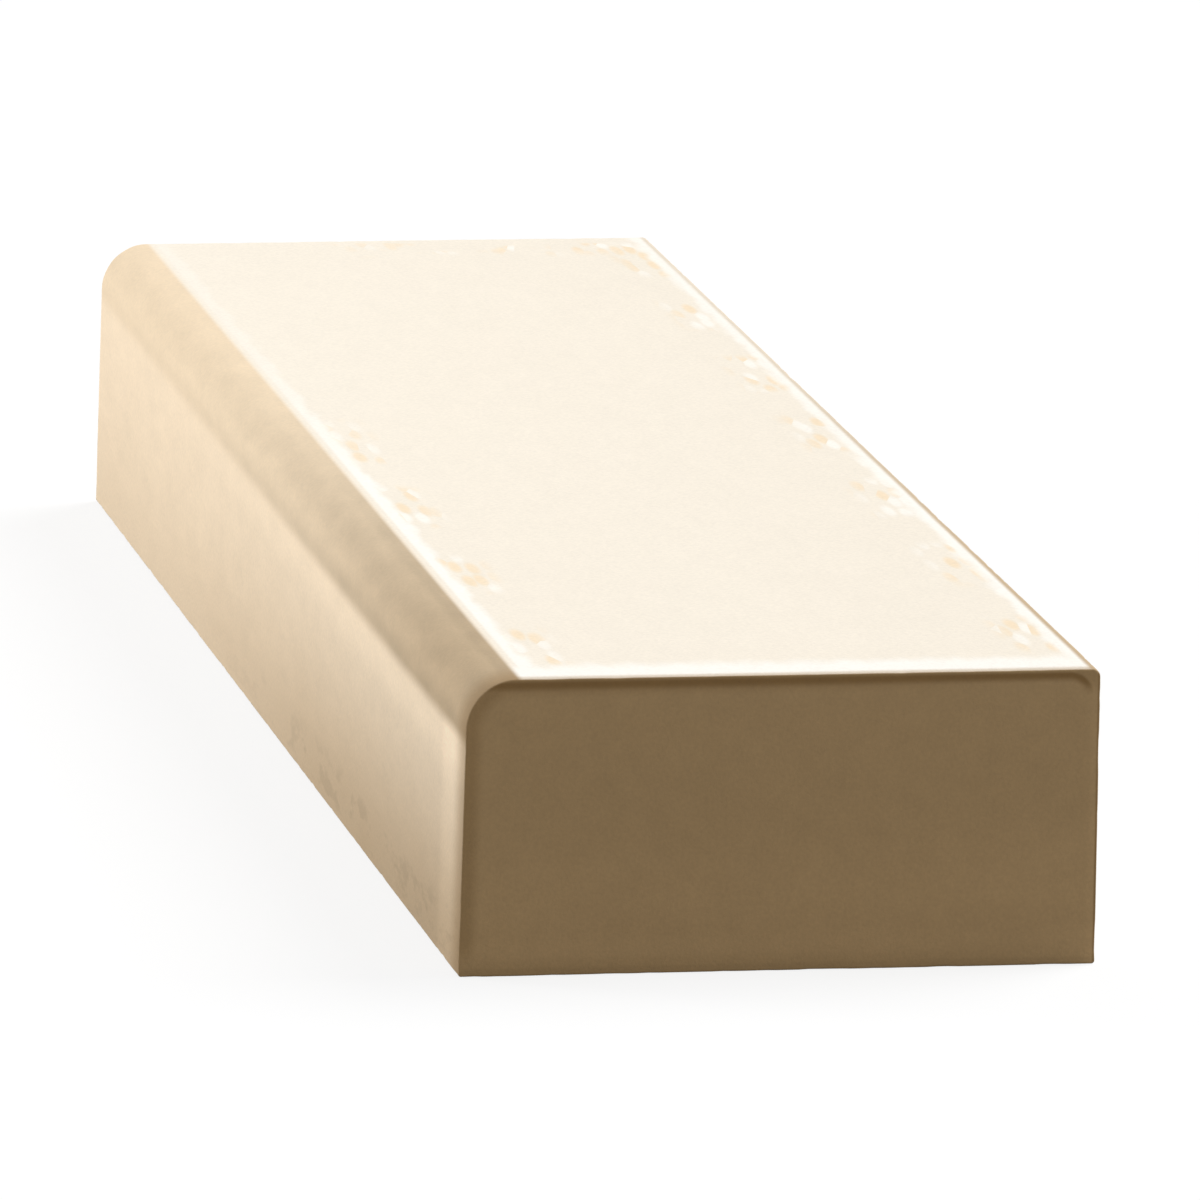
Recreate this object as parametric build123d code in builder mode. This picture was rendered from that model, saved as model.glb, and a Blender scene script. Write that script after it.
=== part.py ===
from build123d import *

import os

# Precast concrete landscape kerb, lying on its bed face.
#
# One cast unit of constant section. The section is a flat rectangle with a large
# rounded nose on the exposed long edge, where the face leans back slightly, and small
# arrises on all its other edges.
#
# Frame, in millimetres: the origin is the middle of the bed face. X runs across the
# kerb, from the exposed nosed face at -X to the backing face at +X. Y runs along the
# kerb, and Z is up from the bed to the tread.

# Overall size of the unit
length = 600.0  # end to end, along Y
width = 150.0  # across the bed, along X
height = 70.0  # bed to tread, along Z

# Exposed face
nose_radius = 12.0  # rounding between the exposed face and the tread
face_lean = 1.3  # how far the exposed face has leaned back at tread level

# Arrises, as radii
backing_arris = 2.0  # long edge between the tread and the backing face
bed_arris = 0.8  # both long edges of the bed
end_arris = 0.6  # all round each end face

# Places worked out from the sizes above
exposed_side = -width / 2
backing_side = width / 2

with BuildPart() as kerb:
    with BuildSketch(Plane.XZ) as section:
        with BuildLine():
            Polyline(
                (exposed_side, 0),
                (backing_side, 0),
                (backing_side, height),
                (exposed_side + face_lean, height),
                close=True,
            )
        make_face()
        bed_corners = section.vertices().group_by(Axis.Y)[0]
        tread_corners = section.vertices().group_by(Axis.Y)[-1].sort_by(Axis.X)
        fillet(bed_corners, bed_arris)
        fillet(tread_corners[0], nose_radius)
        fillet(tread_corners[-1], backing_arris)
    extrude(amount=length / 2, both=True)
    end_faces = kerb.faces().filter_by(Axis.Y)
    fillet(end_faces.edges(), end_arris)

kerb.part.label = "kerb"

os.makedirs("parts", exist_ok=True)
export_step(kerb.part, "parts/kerb.step")
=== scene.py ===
import math
import random

import bmesh
import bpy
from mathutils import Matrix, Vector, noise
from mathutils.kdtree import KDTree


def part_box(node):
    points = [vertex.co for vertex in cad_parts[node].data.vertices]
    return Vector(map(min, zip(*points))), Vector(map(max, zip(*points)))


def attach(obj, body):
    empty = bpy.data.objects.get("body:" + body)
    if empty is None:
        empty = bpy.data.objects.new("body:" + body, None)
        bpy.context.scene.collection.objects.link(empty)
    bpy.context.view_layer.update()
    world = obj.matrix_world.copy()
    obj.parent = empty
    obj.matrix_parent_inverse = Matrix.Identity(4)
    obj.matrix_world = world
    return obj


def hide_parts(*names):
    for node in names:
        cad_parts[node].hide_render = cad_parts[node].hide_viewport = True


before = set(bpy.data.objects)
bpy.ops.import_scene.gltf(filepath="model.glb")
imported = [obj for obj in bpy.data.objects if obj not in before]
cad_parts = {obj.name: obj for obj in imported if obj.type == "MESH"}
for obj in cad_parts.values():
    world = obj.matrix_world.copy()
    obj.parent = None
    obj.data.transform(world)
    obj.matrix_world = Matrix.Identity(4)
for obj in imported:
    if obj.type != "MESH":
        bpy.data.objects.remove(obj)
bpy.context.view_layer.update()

# The looks of a precast concrete landscape kerb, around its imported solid. Lengths are
# in metres. X runs across the kerb from the exposed face to the backing face, Y runs
# along it, and Z is up from the bed to the tread.

MM = 0.001

# The section, as the solid has it
NOSE_RADIUS = 12 * MM
BACKING_ARRIS = 2 * MM
BED_ARRIS = 0.8 * MM
END_ARRIS = 0.6 * MM
FACE_LEAN = 1.3 * MM

LOW = Vector(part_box("kerb")[0])
HIGH = Vector(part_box("kerb")[1])
WIDTH = HIGH.x - LOW.x
LENGTH = HIGH.y - LOW.y
HEIGHT = HIGH.z - LOW.z

# Where the nose's round meets the tread and the exposed face
NOSE_END_X = LOW.x + NOSE_RADIUS + FACE_LEAN
NOSE_END_Z = HIGH.z - NOSE_RADIUS

# Spacing of the mesh
FLAT_STEP = 2.5 * MM
NOSE_STEP = 1.0 * MM
ARRIS_STEP = 0.25 * MM
END_STEP = 0.2 * MM

# How far the cast surface departs from the true solid, always inward
WAVE_DEPTH = 0.12 * MM
WAVE_LENGTH = 85 * MM
RIPPLE_DEPTH = 0.03 * MM
RIPPLE_LENGTH = 11 * MM
CHIP_DEPTH = 0.2 * MM
CHIP_LENGTH = 7 * MM
CHIP_REACH = 2.4 * MM
CHIP_LEVEL = 0.5  # of the noise, above which an arris is worn

# Air holes
PIT_SEED = 11
PIT_COUNT = 50
PIT_RADIUS = (0.4 * MM, 0.9 * MM)
PIT_DEPTH = 0.9  # as a share of the radius
PIT_MARGIN = 4 * MM  # from the edges of a face
PIT_SURROUND = 0.8 * FLAT_STEP  # how far past a hole the mesh is divided
PIT_CUTS = 4
FACING = 0.9  # the least share of a unit normal that counts as facing a way

# Sizes of the noise in the colours, and how far some of it is drawn out along the kerb
CLOUD_SIZE = 45 * MM
MOTTLE_SIZE = 6 * MM
SAND_SIZE = 0.9 * MM
SMUDGE_SIZE = 7 * MM
RAGGED_SIZE = 5 * MM
PATCH_SIZE = 22 * MM
DRAWN_OUT = 3.0

# Flecks on the tread: dots in clusters, whose places wander a little
CLUSTER_SPACING = 88 * MM
WANDER_SIZE = 60 * MM
WANDER_REACH = 40 * MM
DOT_SPACING = 3.5 * MM
DOT_RADIUS = 1.65 * MM
DOT_DRAWN_OUT = 4.5
DOT_TAN_ABOVE = 0.45  # of a random number from 0 to 1, one for each dot
DOT_PALE_BELOW = 0.3

# Where marks rise and where they fade, as distances from the edge that they follow
LOW_SHADE_FADE = (0.0, 52 * MM)  # painted shade, browner on the long faces toward the bed
SPLASH_BAND = (1 * MM, 3 * MM, 8 * MM, 18 * MM)  # mottling on them, from the bed
VERGE_FADE = (22 * MM, 38 * MM)  # pale strip on the exposed face, from the front end
FRONT_SHADE_FADE = (0.0, 17 * MM)  # painted shade, brown on that face and the nose, from the front end
FLECK_BAND = (3 * MM, 6 * MM, 10 * MM, 18 * MM)  # from the tread's long edges
FAR_FLECK_BAND = (2 * MM, 6 * MM, 14 * MM, 32 * MM)  # from the far end
SIDE_LINE_RISE = (1.6 * MM, 2.8 * MM)  # painted highlights, pale lines along the tread's long edges
SIDE_LINE_FADE = (4 * MM, 7 * MM)
FRONT_LINE_FADE = (10 * MM, 20 * MM)  # painted highlight, a pale line along its front edge
FRONT_ARRIS_SHADE_FADE = (1 * MM, 4.5 * MM)  # painted shade, a tan line at that edge
END_FOOT_FADE = (0.0, 50 * MM)  # painted light, paler brown on the ends, from the bed
END_RIM_FADE = (1.5 * MM, 5 * MM)  # rim of the ends, from their outline
END_BED_BAND = (1.2 * MM, 2.6 * MM, 5 * MM, 12 * MM)  # painted light, a pale line on the ends, from the bed

# The camera, from the photograph's viewing angle
VIEW_AZIMUTH = math.radians(-10.05)
VIEW_ELEVATION = math.radians(10.95)
VIEW_ROLL = math.radians(0.9)
VIEW_DISTANCE = 3.78
VIEW_AIM = Vector((0.0101, 0.0, 0.0293))
SENSOR_WIDTH = 36.0
FOCAL_WIDTHS = 12.584  # focal length in widths of the picture


def paint(red, green, blue):
    """A colour written as it looks on a screen, from 0 to 255, for a shader."""
    linear = []
    for level in (red, green, blue):
        share = level / 255
        linear.append(share / 12.92 if share <= 0.04045 else ((share + 0.055) / 1.055) ** 2.4)
    return (*linear, 1.0)


# Colours of the concrete
# The tread's cream is paler than the long faces' buff, partly its own tone and partly painted
# light.
CREAM = paint(238, 229, 214)
PALE = paint(247, 243, 235)
BUFF = paint(237, 217, 189)
TAN = paint(188, 163, 129)
ROSY_BUFF = paint(238, 217, 187)
ROSY_TAN = paint(191, 165, 129)
# The ends' brown is partly their own tone and partly painted shade.
BROWN_AND_SHADE = paint(184, 154, 112)
UMBER = paint(143, 112, 70)
FLECK = paint(239, 220, 191)
WHITE = paint(255, 255, 255)

# The studio
FLOOR_HALF_SIZE = 25.0
FLOOR_GREY = (0.36, 0.35, 0.34, 1.0)  # where the floor only throws light back
FLOOR_GLOW = 0.85  # the glow's share of the floor where it is seen
AMBIENT = 0.3


def run(start, end, step):
    """Places from start up to but not including end, evenly spaced and about step apart."""
    count = max(1, round((end - start) / step))
    return [start + (end - start) * i / count for i in range(count)]


def stations(breaks, steps):
    """Places over several stretches, each with its own spacing, with both ends."""
    places = []
    for start, end, step in zip(breaks, breaks[1:], steps):
        places += run(start, end, step)
    return places + [breaks[-1]]


def corner_radius(x, z):
    """Radius of the section's corner nearest to a place, measured from the low corner."""
    if z < HEIGHT / 2:
        return BED_ARRIS
    return NOSE_RADIUS if x < WIDTH / 2 else BACKING_ARRIS


def corner_frame(x, z):
    """The nearest corner's radius, its side each way as -1 or 1, and its arc's centre."""
    radius = corner_radius(x, z)
    side_x = -1 if x < WIDTH / 2 else 1
    side_z = -1 if z < HEIGHT / 2 else 1
    centre_x = radius if side_x < 0 else WIDTH - radius
    centre_z = radius if side_z < 0 else HEIGHT - radius
    return radius, side_x, side_z, centre_x, centre_z


def round_corner(x, z):
    """Moves a place of the sharp rectangle into the rounded section."""
    radius, side_x, side_z, centre_x, centre_z = corner_frame(x, z)
    out_x = (x - centre_x) * side_x / radius
    out_z = (z - centre_z) * side_z / radius
    if out_x <= 0 or out_z <= 0:
        return x, z
    new_x = centre_x + side_x * radius * out_x * math.sqrt(1 - out_z**2 / 2)
    new_z = centre_z + side_z * radius * out_z * math.sqrt(1 - out_x**2 / 2)
    return new_x, new_z


def section_inset(x, z):
    """How far a place is inside the rounded section, and the way out from there."""
    radius, side_x, side_z, centre_x, centre_z = corner_frame(x, z)
    out_x = (x - centre_x) * side_x
    out_z = (z - centre_z) * side_z
    if out_x > 0 and out_z > 0:
        reach = math.hypot(out_x, out_z)
        return radius - reach, side_x * out_x / reach, side_z * out_z / reach
    if out_x > out_z:
        return radius - out_x, side_x, 0.0
    return radius - out_z, 0.0, side_z


def cast_point(x, y, z, on_end):
    """Moves a place of the sharp box onto the true solid.

    An end arris is a quarter round. Half of its turn is taken from the end face and half
    from the faces along the kerb, so that the two sheets of the grid meet at its middle.
    """
    x, z = round_corner(x, z)
    inset, way_x, way_z = section_inset(x, z)
    from_end = LENGTH / 2 - abs(y)
    if on_end:
        turn = math.pi / 4 * (1 + min(inset / END_ARRIS, 1))
    else:
        inset = 0.0
        turn = math.pi / 4 * (1 - min(from_end / END_ARRIS, 1))
    if on_end or from_end < END_ARRIS:
        new_inset = END_ARRIS * (1 - math.cos(turn)) if inset < END_ARRIS else inset
        x += way_x * (inset - new_inset)
        z += way_z * (inset - new_inset)
        y = math.copysign(LENGTH / 2 - END_ARRIS * (1 - math.sin(turn)), y)
    x += FACE_LEAN * z / HEIGHT * (1 - x / WIDTH)
    return Vector((LOW.x + x, y, LOW.z + z))


def edge_gap(x, y, z, on_end):
    """How far a place of the sharp box is from the nearest edge of its own face."""
    from_end = LENGTH / 2 - abs(y)
    if on_end:
        return max(section_inset(*round_corner(x, z))[0], 0.0)
    if z == HEIGHT:
        return min(max(x - NOSE_RADIUS, 0.0), WIDTH - x, from_end)
    if z == 0:
        return min(x, WIDTH - x, from_end)
    if x == 0:
        return min(z, max(HEIGHT - NOSE_RADIUS - z, 0.0), from_end)
    return min(z, HEIGHT - z, from_end)


def sharp_gap(x, y, z):
    """How far a place of the sharp box is from the nearest edge that has a small arris."""
    from_end = LENGTH / 2 - abs(y)
    from_sides = sorted((min(x, WIDTH - x), min(z, HEIGHT - z)))
    if from_end == 0:
        return from_sides[0]
    long_edge = from_sides[1]
    if x < WIDTH / 2 and z > HEIGHT / 2:
        long_edge = NOSE_RADIUS
    return min(from_end, long_edge)


def cast_mesh():
    """The whole surface as a grid over the six sides of the box, put onto the solid."""
    xs = stations(
        (0, BED_ARRIS, NOSE_RADIUS, WIDTH - BACKING_ARRIS, WIDTH),
        (ARRIS_STEP, NOSE_STEP, FLAT_STEP, ARRIS_STEP),
    )
    zs = stations(
        (0, BED_ARRIS, HEIGHT - NOSE_RADIUS, HEIGHT - BACKING_ARRIS, HEIGHT),
        (ARRIS_STEP, FLAT_STEP, NOSE_STEP, ARRIS_STEP),
    )
    half = LENGTH / 2
    ys = stations(
        (-half, END_ARRIS - half, half - END_ARRIS, half),
        (END_STEP, FLAT_STEP, END_STEP),
    )
    last_x, last_y, last_z = len(xs) - 1, len(ys) - 1, len(zs) - 1
    mesh = bmesh.new()
    gap_layer = mesh.verts.layers.float.new("edge_gap")
    arris_layer = mesh.verts.layers.float.new("arris_gap")
    corners = {}

    def corner(i, j, k):
        if (i, j, k) not in corners:
            place = (xs[i], ys[j], zs[k])
            on_end = j in (0, last_y)
            vertex = mesh.verts.new(cast_point(*place, on_end))
            vertex[gap_layer] = edge_gap(*place, on_end)
            vertex[arris_layer] = sharp_gap(*place)
            corners[i, j, k] = vertex
        return corners[i, j, k]

    def panel(first_count, second_count, place, flip):
        for a in range(first_count):
            for b in range(second_count):
                ring = [place(a, b), place(a + 1, b), place(a + 1, b + 1), place(a, b + 1)]
                mesh.faces.new([corner(*c) for c in (reversed(ring) if flip else ring)])

    for k, flip in ((0, True), (last_z, False)):
        panel(last_x, last_y, lambda a, b, k=k: (a, b, k), flip)
    for i, flip in ((0, True), (last_x, False)):
        panel(last_y, last_z, lambda a, b, i=i: (i, a, b), flip)
    for j, flip in ((0, False), (last_y, True)):
        panel(last_x, last_z, lambda a, b, j=j: (a, j, b), flip)
    return mesh


def is_smooth_side(way):
    """Whether the side that faces this way is the front end, tread or exposed face."""
    return way.y < -FACING or way.z > FACING or way.x < -FACING


def pit_sites(mesh):
    """Places for air holes, drawn at random over the rougher sides, away from the edges."""
    draw = random.Random(PIT_SEED)
    gap_layer = mesh.verts.layers.float["edge_gap"]
    mesh.faces.ensure_lookup_table()
    sites = []
    while len(sites) < PIT_COUNT:
        face = draw.choice(mesh.faces)
        radius = draw.uniform(*PIT_RADIUS)
        if min(v[gap_layer] for v in face.verts) < PIT_MARGIN:
            continue
        if not is_smooth_side(face.normal):
            sites.append((face.calc_center_median(), radius))
    return sites


def refine(mesh, sites):
    """Divides the faces around each air hole, so that it can be a real dent."""
    tree = KDTree(len(mesh.faces))
    for index, face in enumerate(mesh.faces):
        tree.insert(face.calc_center_median(), index)
    tree.balance()
    mesh.faces.ensure_lookup_table()
    edges = set()
    for centre, radius in sites:
        for _, index, _ in tree.find_range(centre, radius + PIT_SURROUND):
            edges.update(mesh.faces[index].edges)
    bmesh.ops.subdivide_edges(mesh, edges=list(edges), cuts=PIT_CUTS, use_grid_fill=True)


def fractal(place, wavelength, seed):
    """Smooth noise between 0 and 1, with finer noise of half the strength in it."""
    at = place / wavelength + Vector((seed, 2 * seed, 3 * seed))
    coarse = noise.noise(at)
    fine = noise.noise(2.1 * at)
    return min(max(0.5 + 0.6 * (coarse + 0.5 * fine), 0.0), 1.0)


def weather(mesh, sites):
    """Presses the surface in a little: waves, ripples, worn arrises and air holes."""
    arris_layer = mesh.verts.layers.float["arris_gap"]
    tree = KDTree(len(mesh.verts))
    mesh.verts.ensure_lookup_table()
    depths = []
    for vertex in mesh.verts:
        depth = WAVE_DEPTH * fractal(vertex.co, WAVE_LENGTH, 1)
        depth += RIPPLE_DEPTH * fractal(vertex.co, RIPPLE_LENGTH, 2)
        near = max(0.0, 1 - vertex[arris_layer] / CHIP_REACH)
        worn = max(0.0, fractal(vertex.co, CHIP_LENGTH, 3) - CHIP_LEVEL) / (1 - CHIP_LEVEL)
        depths.append(depth + CHIP_DEPTH * near * worn)
    for vertex in mesh.verts:
        tree.insert(vertex.co, vertex.index)
    tree.balance()
    for centre, radius in sites:
        for _, index, distance in tree.find_range(centre, radius):
            depths[index] += PIT_DEPTH * radius * math.sqrt(1 - (distance / radius) ** 2)
    mesh.normal_update()
    normals = [vertex.normal.copy() for vertex in mesh.verts]
    for vertex, normal, depth in zip(mesh.verts, normals, depths):
        vertex.co -= normal * depth


def build_kerb():
    """The visible kerb: one closed mesh, with attributes that its material reads."""
    mesh = cast_mesh()
    mesh.normal_update()
    mesh.verts.index_update()
    sites = pit_sites(mesh)
    refine(mesh, sites)
    mesh.verts.index_update()
    weather(mesh, sites)
    for face in mesh.faces:
        face.smooth = True
    data = bpy.data.meshes.new("kerb_cast")
    mesh.to_mesh(data)
    mesh.free()
    piece = bpy.data.objects.new("kerb_cast", data)
    bpy.context.scene.collection.objects.link(piece)
    return piece


class Shader:
    """Adds nodes to one material and links them."""

    def __init__(self, name):
        self.material = bpy.data.materials.new(name)
        self.material.use_nodes = True
        self.tree = self.material.node_tree
        self.tree.nodes.clear()

    def add(self, kind, **settings):
        node = self.tree.nodes.new(kind)
        for name, value in settings.items():
            setattr(node, name, value)
        return node

    def plug(self, socket, value):
        """Links a value that a node gives, or sets one that is a constant."""
        if isinstance(value, bpy.types.NodeSocket):
            self.tree.links.new(value, socket)
        else:
            socket.default_value = value

    def math(self, operation, first, second=0.0):
        node = self.add("ShaderNodeMath", operation=operation)
        self.plug(node.inputs[0], first)
        self.plug(node.inputs[1], second)
        return node.outputs[0]

    def plus(self, first, second):
        return self.math("ADD", first, second)

    def minus(self, first, second):
        return self.math("SUBTRACT", first, second)

    def smaller(self, first, second):
        return self.math("MINIMUM", first, second)

    def greater(self, first, second):
        return self.math("MAXIMUM", first, second)

    def product(self, *factors):
        result = factors[0]
        for factor in factors[1:]:
            result = self.math("MULTIPLY", result, factor)
        return result

    def hypot(self, across, above):
        """Length of the line that goes both these distances, at right angles."""
        squares = self.plus(self.product(across, across), self.product(above, above))
        return self.math("SQRT", squares)

    def ease(self, value, start, end, low=0.0, high=1.0):
        """Goes smoothly from low at start to high at end, where start is the smaller."""
        node = self.add("ShaderNodeMapRange", interpolation_type="SMOOTHSTEP")
        for name, amount in (
            ("Value", value),
            ("From Min", start),
            ("From Max", end),
            ("To Min", low),
            ("To Max", high),
        ):
            self.plug(node.inputs[name], amount)
        return node.outputs["Result"]

    def fade(self, value, start, end):
        """Goes smoothly from 1 at start to 0 at end, where start is the smaller."""
        return self.ease(value, start, end, 1.0, 0.0)

    def band(self, value, rise_start, rise_end, fade_start, fade_end):
        """Rises smoothly from 0 to 1 over one stretch and fades again over a later one."""
        rise = self.ease(value, rise_start, rise_end)
        return self.product(rise, self.fade(value, fade_start, fade_end))

    def grain(self, vector, size, detail=2.0, roughness=0.5):
        """Noise whose features are about size across, in metres."""
        node = self.add("ShaderNodeTexNoise")
        self.plug(node.inputs["Vector"], vector)
        self.plug(node.inputs["Scale"], 1 / size)
        self.plug(node.inputs["Detail"], detail)
        self.plug(node.inputs["Roughness"], roughness)
        return node.outputs["Fac"]

    def sway(self, noise_level, reach):
        """Turns noise from 0 to 1 into an amount that goes both ways, reach in all."""
        return self.product(self.minus(noise_level, 0.5), reach)

    def dots(self, vector, spacing, radius):
        """A loose flat pattern of dots, and a random number from 0 to 1 for each."""
        cells = self.add("ShaderNodeTexVoronoi", feature="F1", voronoi_dimensions="2D")
        self.plug(cells.inputs["Vector"], vector)
        self.plug(cells.inputs["Scale"], 1 / spacing)
        edge = radius / spacing
        dot = self.fade(cells.outputs["Distance"], 0.5 * edge, 1.3 * edge)
        return dot, self.parts(cells.outputs["Color"])[0]

    def parts(self, vector):
        """The X, Y and Z of a vector."""
        node = self.add("ShaderNodeSeparateXYZ")
        self.plug(node.inputs[0], vector)
        return node.outputs[:]

    def stretch(self, vector, along):
        """Makes what is drawn from a place longer along the kerb."""
        node = self.add("ShaderNodeVectorMath", operation="MULTIPLY")
        self.plug(node.inputs[0], vector)
        self.plug(node.inputs[1], (1.0, 1 / along, 1.0))
        return node.outputs[0]

    def blend(self, factor, first, second):
        """Goes from the first colour to the second as the factor goes from 0 to 1."""
        node = self.add("ShaderNodeMix", data_type="RGBA")
        self.plug(node.inputs[0], factor)
        self.plug(node.inputs[6], first)
        self.plug(node.inputs[7], second)
        return node.outputs[2]

    def tint(self, colour, amount):
        """Makes a colour lighter or darker by a plain factor."""
        node = self.add("ShaderNodeVectorMath", operation="SCALE")
        is_linked = isinstance(colour, bpy.types.NodeSocket)
        self.plug(node.inputs[0], colour if is_linked else colour[:3])
        self.plug(node.inputs["Scale"], amount)
        return node.outputs[0]

    def shade(self, mask, colour, amount):
        """Makes a colour lighter or darker by a plain factor where the mask is 1."""
        return self.tint(colour, self.ease(mask, 0.0, 1.0, 1.0, amount))


class Places:
    """Where on the kerb a place is, for a shader.

    spot is the place, x, y and z are its parts, and up is the upward part of its normal.
    gap, from_front and from_side are metres from its own face's edge, from the front end
    and from the tread's nearer long edge. front goes from 1 at the front end to 0 at the
    far end. end, nose, tread and exposed are 1 on those parts of the kerb and 0 off them.
    """

    def __init__(self, shader):
        coordinates = shader.add("ShaderNodeTexCoord")
        self.spot = coordinates.outputs["Object"]
        self.x, self.y, self.z = shader.parts(self.spot)
        _, facing_y, self.up = shader.parts(coordinates.outputs["Normal"])
        self.gap = shader.add("ShaderNodeAttribute", attribute_name="edge_gap").outputs["Fac"]
        self.from_front = shader.minus(self.y, LOW.y)
        self.front = shader.fade(self.y, LOW.y, HIGH.y)
        self.end = shader.ease(shader.math("ABSOLUTE", facing_y), 0.4, 0.92)
        self.nose = shader.product(
            shader.fade(self.x, NOSE_END_X - 0.5 * MM, NOSE_END_X + 1.5 * MM),
            shader.ease(self.z, NOSE_END_Z - 5 * MM, NOSE_END_Z - 0.5 * MM),
        )
        beside_nose = shader.minus(1.0, self.nose)
        self.tread = shader.product(shader.ease(self.up, 0.7, 0.98), beside_nose)
        self.from_side = shader.smaller(
            shader.minus(self.x, NOSE_END_X), shader.minus(HIGH.x, self.x)
        )
        self.exposed = shader.fade(self.x, LOW.x + 5 * MM, LOW.x + 15 * MM)


def long_face_colour(shader, at, cloud, mottle):
    """Buff, with painted shade that browns it toward the bed and the front, painted light below
    the nose, and paler by the end.
    """
    # Painted shade: browner toward the bed and the front, a little patchy
    painted_low_shade = shader.product(
        shader.fade(at.z, *LOW_SHADE_FADE),
        shader.ease(at.front, 0.0, 1.0, 0.3, 1.0),
        shader.ease(cloud, 0.2, 0.8, 0.8, 1.0),
    )
    colour = shader.blend(painted_low_shade, BUFF, TAN)
    verge = shader.product(shader.fade(at.from_front, *VERGE_FADE), at.exposed)
    colour = shader.shade(verge, colour, 1.13)
    # Painted light: paler just below the nose, toward the front of the exposed face
    under_nose = shader.ease(at.z, NOSE_END_Z - 18 * MM, NOSE_END_Z - 6 * MM)
    painted_light_under_nose = shader.product(under_nose, at.exposed, at.front)
    colour = shader.shade(painted_light_under_nose, colour, 1.12)
    splash = shader.product(
        shader.band(at.z, *SPLASH_BAND),
        shader.ease(mottle, 0.42, 0.66),
        shader.ease(at.front, 0.2, 0.9, 0.35, 1.0),
    )
    return shader.shade(splash, colour, 0.85)


def nose_colour(shader, at):
    """Buff with painted shade, tan toward the front and darker along both sides, with smudges."""
    # Painted shade: the nose browns to tan toward the front
    painted_front_shade = shader.product(shader.math("POWER", at.front, 3.3), 0.65)
    colour = shader.blend(shader.plus(painted_front_shade, 0.1), ROSY_BUFF, ROSY_TAN)
    # Painted shade: darker where the nose turns toward the tread and toward the exposed face
    shade_by_tread = shader.product(
        shader.ease(at.up, 0.4, 0.95), shader.ease(at.front, 0.0, 1.0, 0.03, 0.17)
    )
    shade_by_face = shader.product(
        shader.fade(at.up, 0.0, 0.4), shader.ease(at.front, 0.0, 1.0, 0.06, 0.13)
    )
    colour = shader.tint(colour, shader.minus(1.0, shader.plus(shade_by_tread, shade_by_face)))
    # Painted shade in the crease where the nose meets the exposed face, toward the front
    crease_shade = shader.product(
        shader.ease(at.x, NOSE_END_X - 5 * MM, NOSE_END_X - 1.5 * MM),
        shader.ease(at.front, 0.3, 1.0),
    )
    colour = shader.shade(crease_shade, colour, 0.88)
    smudge = shader.grain(shader.stretch(at.spot, DRAWN_OUT), SMUDGE_SIZE)
    smudge = shader.product(shader.sway(smudge, 0.26), at.front)
    return shader.tint(colour, shader.plus(smudge, 1.0))


def shade_front_edge(shader, at, colour):
    """Paints shade that browns the nose and the exposed face over the last stretch to the front
    end.
    """
    edge = shader.product(
        shader.fade(at.from_front, *FRONT_SHADE_FADE), shader.fade(at.x, -20 * MM, 0.0), 0.6
    )
    return shader.blend(edge, colour, UMBER)


def fleck_clusters(shader, at):
    """Where flecks lie on the tread: in clusters along its long edges and at its far end."""
    belt = shader.product(
        shader.band(at.from_side, *FLECK_BAND),
        shader.greater(shader.ease(at.x, 0.0, 20 * MM), shader.ease(at.front, 0.3, 0.6)),
    )
    wander = shader.product(shader.grain(at.spot, WANDER_SIZE, 1.0), WANDER_REACH)
    turn = shader.product(shader.plus(at.y, wander), 2 * math.pi / CLUSTER_SPACING)
    clusters = shader.product(belt, shader.ease(shader.math("SINE", turn), -0.5, 0.4))
    far_belt = shader.product(
        shader.band(shader.minus(HIGH.y, at.y), *FAR_FLECK_BAND),
        shader.ease(at.x, -45 * MM, 45 * MM),
        shader.ease(at.from_side, *FLECK_BAND[:2]),
        shader.ease(shader.grain(at.spot, PATCH_SIZE, 1.0), 0.5, 0.6),
    )
    return shader.greater(clusters, far_belt)


def highlight_lines(shader, at):
    """Where painted highlights, pale lines with a ragged inner side, run along the tread's long
    and front edges.
    """
    ragged = shader.grain(shader.stretch(at.spot, DRAWN_OUT), RAGGED_SIZE, 1.0)
    inner_side = shader.plus(at.from_side, shader.sway(ragged, 5 * MM))
    side_highlight = shader.product(
        shader.ease(at.from_side, *SIDE_LINE_RISE),
        shader.fade(inner_side, *SIDE_LINE_FADE),
        shader.greater(
            shader.ease(at.x, 0.0, 20 * MM, 0.0, 0.85),
            shader.ease(at.front, 0.1, 0.7, 0.25, 1.0),
        ),
    )
    inner_front = shader.plus(at.from_front, shader.sway(ragged, 8 * MM))
    return shader.greater(side_highlight, shader.fade(inner_front, *FRONT_LINE_FADE))


def tread_colour(shader, at):
    """Cream, with faint flecks, painted highlights along its edges and painted shade in a tan
    line at the front.
    """
    clusters = fleck_clusters(shader, at)
    spot = shader.stretch(at.spot, DOT_DRAWN_OUT)
    dot, draw = shader.dots(spot, DOT_SPACING, DOT_RADIUS)
    tan_dots = shader.product(clusters, dot, shader.math("GREATER_THAN", draw, DOT_TAN_ABOVE))
    pale_dots = shader.product(clusters, dot, shader.math("LESS_THAN", draw, DOT_PALE_BELOW), 0.8)
    colour = shader.blend(tan_dots, CREAM, FLECK)
    colour = shader.blend(pale_dots, colour, PALE)
    colour = shader.blend(highlight_lines(shader, at), colour, PALE)
    # Painted shade where the tread's front arris turns toward the end
    front_arris_shade = shader.fade(at.from_front, *FRONT_ARRIS_SHADE_FADE)
    return shader.blend(shader.product(front_arris_shade, 0.6), colour, TAN)


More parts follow.
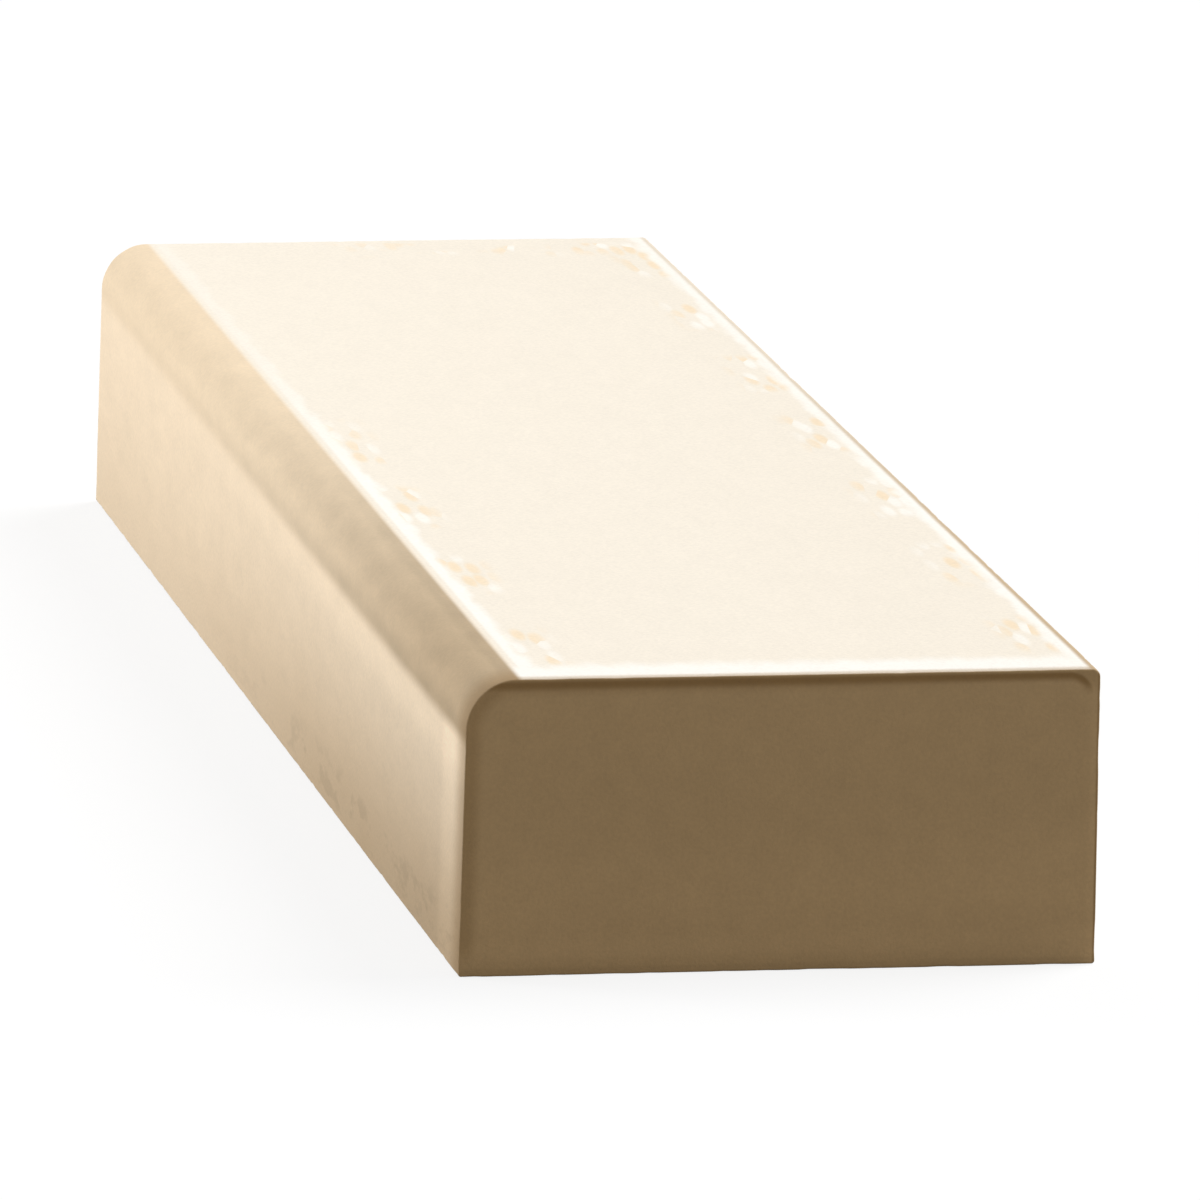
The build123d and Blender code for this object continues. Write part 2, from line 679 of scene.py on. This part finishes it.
def under_tread_line(shader, at):
    """Where a line under the tread runs, which turns down round a centre by the backing."""
    radius = 5 * MM
    across = shader.minus(at.x, HIGH.x - 2.4 * MM - radius)
    above = shader.minus(at.z, HIGH.z - 1.5 * MM - radius)
    reach = shader.hypot(shader.greater(across, 0.0), shader.greater(above, 0.0))
    return shader.product(
        shader.ease(reach, radius - 1.9 * MM, radius),
        shader.ease(reach, radius + 0.3 * MM, radius + 1.1 * MM, 1.0, 0.3),
        shader.ease(at.z, HIGH.z - 6.5 * MM, HIGH.z - 2.5 * MM),
    )


def end_colour(shader, at):
    """Brown, partly its own tone and partly painted shade, darker along its exposed edge and in a
    line under the tread.
    """
    # Painted light: the ends are paler toward the bed
    colour = shader.shade(shader.fade(at.z, *END_FOOT_FADE), BROWN_AND_SHADE, 1.16)
    rim = shader.fade(at.gap, *END_RIM_FADE)
    exposed_rim = shader.product(
        rim,
        shader.fade(at.x, 0.0, 70 * MM),
        shader.ease(at.z, 2 * MM, 8 * MM, 0.3, 1.0),
        0.45,
    )
    colour = shader.blend(exposed_rim, colour, UMBER)
    backing_rim = shader.product(rim, shader.ease(at.x, 70 * MM, HIGH.x))
    colour = shader.shade(backing_rim, colour, 1.07)
    backing_edge = shader.ease(at.x, HIGH.x - 1 * MM, HIGH.x - 0.3 * MM)
    colour = shader.blend(backing_edge, colour, UMBER)
    # Painted shade: darker low on the ends toward the backing side
    low_backing_shade = shader.product(
        shader.ease(at.x, 10 * MM, HIGH.x), shader.fade(at.z, 0.0, 35 * MM)
    )
    colour = shader.shade(low_backing_shade, colour, 0.9)
    # Painted light in a pale band just above the bed
    colour = shader.shade(shader.band(at.z, *END_BED_BAND), colour, 1.07)
    return shader.blend(under_tread_line(shader, at), colour, UMBER)


def concrete_material():
    shader = Shader("concrete")
    at = Places(shader)

    # Noise of several sizes, some of it drawn out along the kerb
    drawn = shader.stretch(at.spot, DRAWN_OUT)
    cloud = shader.grain(drawn, CLOUD_SIZE, 3.0)
    mottle = shader.grain(drawn, MOTTLE_SIZE, 3.0, 0.6)
    sand = shader.grain(at.spot, SAND_SIZE, 2.0, 0.6)

    colour = long_face_colour(shader, at, cloud, mottle)
    colour = shader.blend(at.nose, colour, nose_colour(shader, at))
    colour = shade_front_edge(shader, at, colour)
    colour = shader.blend(at.tread, colour, tread_colour(shader, at))
    # Painted shade: a tan line along the backing arris, darker toward the front
    backing_arris_shade = shader.product(
        shader.ease(at.x, HIGH.x - 3.2 * MM, HIGH.x - 1.8 * MM),
        shader.ease(at.z, HIGH.z - 3 * MM, HIGH.z - 2 * MM),
        shader.ease(at.front, 0.0, 1.0, 0.35, 0.95),
    )
    colour = shader.blend(backing_arris_shade, colour, TAN)
    colour = shader.blend(at.end, colour, end_colour(shader, at))

    # Tone of the mix and of the sand in it, the mix's evener on the tread
    plain = shader.ease(at.tread, 0.0, 1.0, 1.0, 0.4)
    mix_tone = shader.plus(shader.sway(cloud, 0.05), shader.sway(mottle, 0.14))
    tone = shader.plus(shader.product(mix_tone, plain), shader.sway(sand, 0.22))
    colour = shader.tint(colour, shader.plus(tone, 1.0))

    relief = shader.add("ShaderNodeBump")
    relief.inputs["Strength"].default_value = 0.5
    relief.inputs["Distance"].default_value = 0.2 * MM
    height = shader.plus(shader.product(sand, 0.7), shader.product(mottle, plain, 0.6))
    shader.plug(relief.inputs["Height"], height)

    surface = shader.add("ShaderNodeBsdfPrincipled")
    surface.inputs["Specular IOR Level"].default_value = 0.25
    shader.plug(surface.inputs["Base Color"], colour)
    shader.plug(surface.inputs["Roughness"], shader.ease(sand, 0.3, 0.7, 0.82, 0.95))
    shader.plug(surface.inputs["Normal"], relief.outputs["Normal"])
    output = shader.add("ShaderNodeOutputMaterial")
    shader.plug(output.inputs["Surface"], surface.outputs["BSDF"])
    return shader.material


def seen_ray(shader):
    """1 for the rays that show a background: from the camera, a gloss or a glass."""
    rays = shader.add("ShaderNodeLightPath")
    seen = shader.greater(rays.outputs["Is Camera Ray"], rays.outputs["Is Glossy Ray"])
    return shader.greater(seen, rays.outputs["Is Transmission Ray"])


def floor_material():
    """White where it is seen, grey where it only throws light back, with a soft shadow."""
    shader = Shader("floor")
    seen = seen_ray(shader)
    matte = shader.add("ShaderNodeBsdfDiffuse")
    shader.plug(matte.inputs["Color"], shader.blend(seen, FLOOR_GREY, WHITE))
    glow = shader.add("ShaderNodeEmission")
    glow.inputs["Strength"].default_value = 1.0
    mix = shader.add("ShaderNodeMixShader")
    shader.plug(mix.inputs[0], shader.product(seen, FLOOR_GLOW))
    shader.plug(mix.inputs[1], matte.outputs[0])
    shader.plug(mix.inputs[2], glow.outputs[0])
    output = shader.add("ShaderNodeOutputMaterial")
    shader.plug(output.inputs["Surface"], mix.outputs[0])
    return shader.material


def build_floor():
    half = FLOOR_HALF_SIZE
    corners = [(-half, -half, 0), (half, -half, 0), (half, half, 0), (-half, half, 0)]
    data = bpy.data.meshes.new("studio_floor")
    data.from_pydata(corners, [], [(0, 1, 2, 3)])
    floor = bpy.data.objects.new("studio_floor", data)
    floor.location.z = LOW.z
    bpy.context.scene.collection.objects.link(floor)
    floor.data.materials.append(floor_material())
    return floor


def add_lamp(name, kind, place, aim, energy, size):
    """A lamp at a place, turned to its aim. size is a sun's angle or a panel's side."""
    lamp = bpy.data.lights.new(name, kind)
    lamp.energy = energy
    if kind == "SUN":
        lamp.angle = size
    else:
        lamp.shape = "SQUARE"
        lamp.size = size
    holder = bpy.data.objects.new(name, lamp)
    holder.location = place
    holder.rotation_euler = (Vector(aim) - Vector(place)).to_track_quat("-Z", "Y").to_euler()
    holder.visible_camera = False
    bpy.context.scene.collection.objects.link(holder)


def build_lights():
    """A broad sun from behind on the right, a panel on the left and a weak one in front."""
    add_lamp("key", "SUN", (1.25, 0.6, 1.45), (0, 0, 0), 3.0, math.radians(46))
    add_lamp("left_panel", "AREA", (-1.1, 0.34, 0.25), (-0.05, 0.1, 0.03), 8.6, 0.4)
    add_lamp("front_fill", "AREA", (0.6, -2.4, 1.0), (0, -0.3, 0.03), 5.0, 1.5)


def build_world():
    """Plain soft light all round, which the camera sees as white."""
    world = bpy.data.worlds.new("studio")
    world.use_nodes = True
    tree = world.node_tree
    tree.nodes.clear()
    rays = tree.nodes.new("ShaderNodeLightPath")
    light = tree.nodes.new("ShaderNodeBackground")
    light.inputs["Color"].default_value = WHITE
    light.inputs["Strength"].default_value = AMBIENT
    white = tree.nodes.new("ShaderNodeBackground")
    white.inputs["Color"].default_value = WHITE
    mix = tree.nodes.new("ShaderNodeMixShader")
    seen = tree.nodes.new("ShaderNodeMath")
    seen.operation = "MAXIMUM"
    output = tree.nodes.new("ShaderNodeOutputWorld")
    tree.links.new(rays.outputs["Is Camera Ray"], seen.inputs[0])
    tree.links.new(rays.outputs["Is Glossy Ray"], seen.inputs[1])
    tree.links.new(seen.outputs[0], mix.inputs[0])
    tree.links.new(light.outputs[0], mix.inputs[1])
    tree.links.new(white.outputs[0], mix.inputs[2])
    tree.links.new(mix.outputs[0], output.inputs["Surface"])
    bpy.context.scene.world = world


def build_camera():
    """A camera that looks at its aim from the viewing angle, turned by its roll."""
    back = Vector(
        (
            math.sin(VIEW_AZIMUTH) * math.cos(VIEW_ELEVATION),
            -math.cos(VIEW_AZIMUTH) * math.cos(VIEW_ELEVATION),
            math.sin(VIEW_ELEVATION),
        )
    )
    right = Vector((math.cos(VIEW_AZIMUTH), math.sin(VIEW_AZIMUTH), 0.0))
    up = back.cross(right)
    turned_right = right * math.cos(VIEW_ROLL) + up * math.sin(VIEW_ROLL)
    turned_up = up * math.cos(VIEW_ROLL) - right * math.sin(VIEW_ROLL)
    lens = bpy.data.cameras.new("camera")
    lens.sensor_width = SENSOR_WIDTH
    lens.lens = SENSOR_WIDTH * FOCAL_WIDTHS
    lens.clip_end = 100.0
    camera = bpy.data.objects.new("camera", lens)
    turn = Matrix((turned_right, turned_up, back)).transposed()
    camera.matrix_world = Matrix.Translation(VIEW_AIM + back * VIEW_DISTANCE) @ turn.to_4x4()
    bpy.context.scene.collection.objects.link(camera)
    bpy.context.scene.camera = camera


kerb = build_kerb()
kerb.data.materials.append(concrete_material())
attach(kerb, "root")
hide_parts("kerb")

build_floor()
build_lights()
build_world()
build_camera()
bpy.context.scene.view_settings.view_transform = "Standard"
